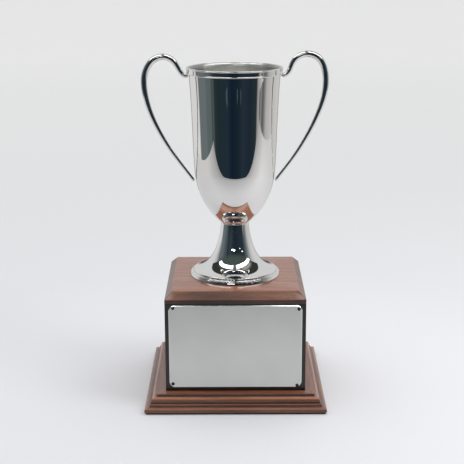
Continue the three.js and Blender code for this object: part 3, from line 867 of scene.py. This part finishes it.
# Pieces that no view shows keep their CAD shape and get a material.
KEPT = {"corner_block": PINE, "base_screw": STEEL, "foot_plate": STEEL, "bowl_boss": BRASS}
for node_name, node_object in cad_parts.items():
    for start, look in KEPT.items():
        if node_name.startswith(start):
            node_object.data.materials.clear()
            node_object.data.materials.append(look)

# ---------------------------------------------------------------- table and floor

# In metres: the table that the metal mirrors, and the floor that the camera sees.
TABLE_X = (-1.10, 1.35)
TABLE_Y = (-0.65, 0.80)
FLOOR_REACH = 23.0
FLOOR_HEIGHT = -0.0002


def floor_material(name, shade, front_shade):
    """Plain pale paper with painted shade: a little darker round the trophy, and darker by the front shade
    near the front.
    """
    material, n, shader = surface(name, Roughness=0.9)
    shader.inputs["Specular IOR Level"].default_value = 0.05
    distance = n.new("ShaderNodeVectorMath", operation="LENGTH")
    n.put(distance.inputs[0], n.place())
    # painted shade: darker near the trophy than far from it
    colour = n.ramp(
        n.math("DIVIDE", distance.outputs["Value"], 4.0),
        [
            (0.0, scaled((0.80, 0.81, 0.84), shade)),
            (0.07, scaled((0.79, 0.80, 0.83), shade)),
            (0.12, scaled((0.77, 0.78, 0.80), shade)),
            (0.45, scaled((0.86, 0.865, 0.87), shade)),
            (1.0, scaled((0.93, 0.93, 0.93), shade)),
        ],
    )
    split = n.new("ShaderNodeSeparateXYZ")
    n.put(split.inputs[0], n.place())
    # painted shade towards the front, by the front shade
    forward = n.math("MULTIPLY", split.outputs[1], -1.0)
    front_edge = n.math("MULTIPLY", n.step(forward, 0.13, 0.55), front_shade)
    front_edge = n.math("MULTIPLY_ADD", n.step(forward, 0.50, 0.66), front_shade * 0.7, front_edge)
    colour = n.mix(front_edge, colour, (0.0, 0.0, 0.0))
    mottle = n.noise(n.place(), 3.0, 2.0)
    n.put(shader.inputs["Base Color"], n.mix(n.math("MULTIPLY", mottle, 0.04), colour, (0.6, 0.62, 0.68)))
    return material


def stage_sheet(name, corners, material, seen):
    """A flat sheet with four corners, either seen by the camera or mirrored in the metal."""
    mesh = bpy.data.meshes.new(name)
    mesh.from_pydata(corners, [], [(0, 1, 2, 3)])
    mesh.materials.append(material)
    made = bpy.data.objects.new(name, mesh)
    made.visible_camera = seen
    made.visible_diffuse = seen
    made.visible_shadow = seen
    made.visible_glossy = not seen
    bpy.context.scene.collection.objects.link(made)


def level_sheet(name, across, along, height, material, seen):
    """A stage sheet at one height, between two X and two Y values."""
    (x0, x1), (y0, y1) = across, along
    corners = [(x0, y0, height), (x1, y0, height), (x1, y1, height), (x0, y1, height)]
    stage_sheet(name, corners, material, seen)


FLOOR = floor_material("pale_floor", 1.0, 0.10)
# The table that the metal mirrors is a darker copy of the floor, with more painted shade near its front.
FLOOR_IN_METAL = floor_material("pale_floor_in_metal", 0.80, 0.30)
far_reach = (-FLOOR_REACH, FLOOR_REACH)
level_sheet("floor", far_reach, far_reach, FLOOR_HEIGHT, FLOOR, True)
level_sheet("table_top", TABLE_X, TABLE_Y, FLOOR_HEIGHT / 2, FLOOR_IN_METAL, False)

# ---------------------------------------------------------------- studio

# What stands round the table: degrees from the front towards +X, and a colour. The first list is
# for directions below level, the second for those above it.
ROUND_ABOUT_LOW = [
    (-180, (0.05, 0.055, 0.06)), (-169, (0.05, 0.055, 0.06)), (-163, (0.50, 0.51, 0.52)),
    (-150, (0.68, 0.685, 0.69)), (-110, (0.70, 0.705, 0.71)), (-106, (0.135, 0.160, 0.172)),
    (-82, (0.135, 0.160, 0.172)), (-79, (0.102, 0.132, 0.140)), (-65, (0.098, 0.128, 0.134)),
    (-62, (0.05, 0.067, 0.07)), (-58, (0.075, 0.095, 0.10)), (-54, (0.022, 0.032, 0.036)),
    (-42, (0.014, 0.027, 0.031)), (-20, (0.015, 0.027, 0.042)), (-8, (0.006, 0.014, 0.025)),
    (8, (0.009, 0.018, 0.029)), (22, (0.017, 0.029, 0.045)), (40, (0.012, 0.022, 0.035)),
    (56, (0.018, 0.031, 0.036)), (59, (0.03, 0.036, 0.038)), (62, (0.30, 0.31, 0.31)),
    (66, (0.33, 0.34, 0.34)), (69, (0.06, 0.068, 0.066)), (72, (0.28, 0.29, 0.29)),
    (77, (0.09, 0.095, 0.095)), (81, (0.15, 0.15, 0.15)), (86, (0.28, 0.28, 0.28)),
    (91, (0.44, 0.44, 0.44)), (110, (0.53, 0.535, 0.53)), (150, (0.60, 0.60, 0.60)),
    (163, (0.45, 0.45, 0.46)), (169, (0.05, 0.055, 0.06)),
]
ROUND_ABOUT_HIGH = [
    (-180, (0.64, 0.65, 0.66)), (-128, (0.66, 0.68, 0.70)), (-118, (0.58, 0.60, 0.61)),
    (-110, (0.46, 0.49, 0.51)), (-104, (0.30, 0.33, 0.35)), (-96, (0.14, 0.16, 0.18)),
    (-80, (0.13, 0.15, 0.165)), (-66, (0.070, 0.092, 0.11)), (-55, (0.054, 0.074, 0.09)),
    (-49, (0.021, 0.031, 0.042)), (-32, (0.034, 0.050, 0.063)), (-12, (0.016, 0.026, 0.036)),
    (0, (0.012, 0.021, 0.030)), (30, (0.018, 0.028, 0.039)), (54, (0.022, 0.034, 0.048)),
    (64, (0.070, 0.092, 0.095)), (73, (0.10, 0.135, 0.14)), (80, (0.20, 0.24, 0.245)),
    (88, (0.27, 0.29, 0.30)), (94, (0.43, 0.45, 0.45)), (104, (0.54, 0.56, 0.56)),
    (120, (0.64, 0.67, 0.69)), (180, (0.64, 0.65, 0.66)),
]
# Lamps on the ceiling, in ceiling heights: left and right edge, nearer and further edge, strength.
LAMPS = [(-0.85, -0.05, 2.15, 2.42, 9.0), (1.38, 1.52, 2.28, 2.48, 4.0), (1.58, 1.74, 1.55, 1.77, 4.0)]
# The middle of the long bent lamp: how far across, and how far ahead.
LONG_LAMP = [(-1.2, 0.10), (-0.8, 0.14), (-0.4, 0.26), (-0.1, 0.33), (0.15, 0.36), (0.5, 0.41), (1.5, 0.31)]
LONG_LAMP_HALF_WIDTH = 0.14
LONG_LAMP_STRENGTH = 5.0
BACKDROP = (0.84, 0.845, 0.855)
CARD_Y = -0.55                       # the dim cards stand this far in front of the cup


def studio():
    """The light: white screens behind and overhead, and a dark room in front of the table."""
    world = bpy.data.worlds.new("studio")
    bpy.context.scene.world = world
    world.use_nodes = True
    world.cycles.sampling_method = "NONE"
    n = Nodes(world.node_tree)
    n.tree.nodes.clear()
    way = n.new("ShaderNodeTexCoord").outputs["Generated"]
    split = n.new("ShaderNodeSeparateXYZ")
    n.put(split.inputs[0], way)
    x, y, z = split.outputs
    front = n.math("MULTIPLY", y, -1.0)
    around = n.math("DEGREES", n.math("ARCTAN2", x, front))
    height = n.math("DEGREES", n.math("ARCSINE", z))
    place = n.math("MULTIPLY_ADD", around, 1 / 360, 0.5)
    low_ring = n.ramp(place, [((a + 180) / 360, c) for a, c in ROUND_ABOUT_LOW])
    high_ring = n.ramp(place, [((a + 180) / 360, c) for a, c in ROUND_ABOUT_HIGH])
    colour = n.mix(n.step(height, -6.0, 6.0), low_ring, high_ring)

    # the ceiling, laid out flat: how far across and how far ahead of the cup, in ceiling heights
    flat = n.math("MAXIMUM", z, 0.02)
    across = n.math("DIVIDE", x, flat)
    ahead = n.math("DIVIDE", front, flat)
    aside = n.math("ABSOLUTE", across)
    near = n.math("SQRT", n.math("ADD", n.math("POWER", aside, 2.0), n.math("POWER", ahead, 2.0)))
    is_above = n.step(z, 0.2, 0.3)
    facing = n.math("MULTIPLY", n.step(ahead, -0.22, -0.08), is_above)
    facing = n.math("MULTIPLY", facing, n.step(near, 2.0, 1.1))
    colour = n.mix(facing, colour, (0.061, 0.083, 0.076))

    def panel(colour, left, right, nearer, further, soft, shade):
        """Paints one straight-sided patch of the ceiling."""
        inside = n.math("MULTIPLY", n.step(across, left - soft, left + soft), is_above)
        inside = n.math("MULTIPLY", inside, n.step(across, right + soft, right - soft))
        inside = n.math("MULTIPLY", inside, n.step(n.math("SUBTRACT", ahead, nearer), -soft, soft))
        inside = n.math("MULTIPLY", inside, n.step(n.math("SUBTRACT", ahead, further), soft, -soft))
        return n.mix(inside, colour, shade)

    # a dark gap between the back screen and the lamps
    gap_end = n.math("MULTIPLY_ADD", aside, -0.37, -0.43)
    colour = panel(colour, -1.46, 1.46, gap_end, -0.13, 0.04, (0.032, 0.036, 0.032))
    colour = panel(colour, 0.28, 1.10, -0.04, 0.28, 0.05, (0.33, 0.33, 0.33))

    # one long bent lamp, dimmer in its middle
    along = n.math("MULTIPLY_ADD", across, 0.25, 0.5)
    middle = n.ramp(along, [(place * 0.25 + 0.5, (ahead_at,) * 3) for place, ahead_at in LONG_LAMP])
    lamp_near = n.math("SUBTRACT", middle, LONG_LAMP_HALF_WIDTH)
    lamp_far = n.math("ADD", middle, LONG_LAMP_HALF_WIDTH)
    colour = panel(colour, -1.25, 1.5, lamp_near, lamp_far, 0.025, (LONG_LAMP_STRENGTH,) * 3)
    colour = panel(colour, -0.12, 0.08, 0.04, 0.55, 0.05, (0.12, 0.14, 0.135))
    for left, right, nearer, further, strength in LAMPS:
        colour = panel(colour, left, right, nearer, further, 0.02, (strength,) * 3)

    # what rough surfaces gather: soft light from overhead and behind
    soft = n.math("MULTIPLY_ADD", z, 1.05, n.math("MULTIPLY_ADD", y, 0.40, 0.16))
    soft = n.math("MAXIMUM", soft, 0.04)
    path = n.new("ShaderNodeLightPath")
    out = n.new("ShaderNodeBackground")
    colour = n.mix(path.outputs["Is Camera Ray"], colour, BACKDROP)
    n.put(out.inputs["Color"], n.mix(path.outputs["Is Diffuse Ray"], colour, (1.0, 1.0, 1.0)))
    n.put(out.inputs["Strength"], n.mix(path.outputs["Is Diffuse Ray"], (1.0, 1.0, 1.0), soft))
    n.put(n.new("ShaderNodeOutputWorld").inputs["Surface"], out.outputs[0])


def soft_light(name, place, target, size, power):
    """A large soft lamp that the metal doesn't mirror."""
    lamp = bpy.data.lights.new(name, "AREA")
    lamp.shape = "RECTANGLE"
    lamp.size, lamp.size_y = size
    lamp.energy = power
    made = bpy.data.objects.new(name, lamp)
    made.location = place
    made.rotation_euler = (Vector(target) - Vector(place)).to_track_quat("-Z", "Y").to_euler()
    made.visible_glossy = False
    made.visible_camera = False
    bpy.context.scene.collection.objects.link(made)


def faint_card(name, x, low_z, high_z, half_width):
    """A faintly glowing card in the dark room, seen only in the metal, with one upper corner cut back."""
    material = bpy.data.materials.new(name)
    material.use_nodes = True
    n = Nodes(material.node_tree)
    n.tree.nodes.clear()
    glow = n.new("ShaderNodeEmission")
    colour = n.mix(n.noise(n.place(), 30.0), (0.050, 0.072, 0.085), (0.090, 0.120, 0.135))
    n.put(glow.inputs["Color"], colour)
    n.put(n.new("ShaderNodeOutputMaterial").inputs["Surface"], glow.outputs[0])
    left, right, cut_back = x - half_width, x + half_width, x + half_width * 0.6
    corners = [(left, low_z), (right, low_z), (cut_back, high_z), (left, high_z)]
    stage_sheet(name, [(across, CARD_Y, z) for across, z in corners], material, False)


studio()
faint_card("card_left", -0.198, 0.1985, 0.2040, 0.022)
faint_card("card_middle", 0.062, 0.2062, 0.2120, 0.009)
faint_card("card_right", 0.150, 0.2025, 0.2090, 0.008)
soft_light("overhead_softbox", (0.0, -0.1, 1.6), (0.0, 0.0, 0.1), (2.0, 1.6), 3.0)
soft_light("right_softbox", (0.75, -0.35, 0.85), (0.0, 0.0, 0.08), (0.5, 0.5), 3.0)

# ---------------------------------------------------------------- camera

CAMERA_PLACE = (-0.00336, -1.20955, 0.48516)
CAMERA_DOWN = 14.23                  # degrees below level
CAMERA_ROLL = -0.18
CAMERA_LENS = 86.03                  # millimetres, on a 36 mm wide frame

camera_data = bpy.data.cameras.new("camera")
camera_data.lens = CAMERA_LENS
camera_data.sensor_width = 36.0
camera = bpy.data.objects.new("camera", camera_data)
camera.location = CAMERA_PLACE
tilt = Matrix.Rotation(math.radians(90 - CAMERA_DOWN), 3, "X")
roll = Matrix.Rotation(math.radians(CAMERA_ROLL), 3, "Z")
camera.rotation_euler = (tilt @ roll).to_euler()
bpy.context.scene.collection.objects.link(camera)
bpy.context.scene.camera = camera
bpy.context.scene.view_settings.view_transform = "Standard"
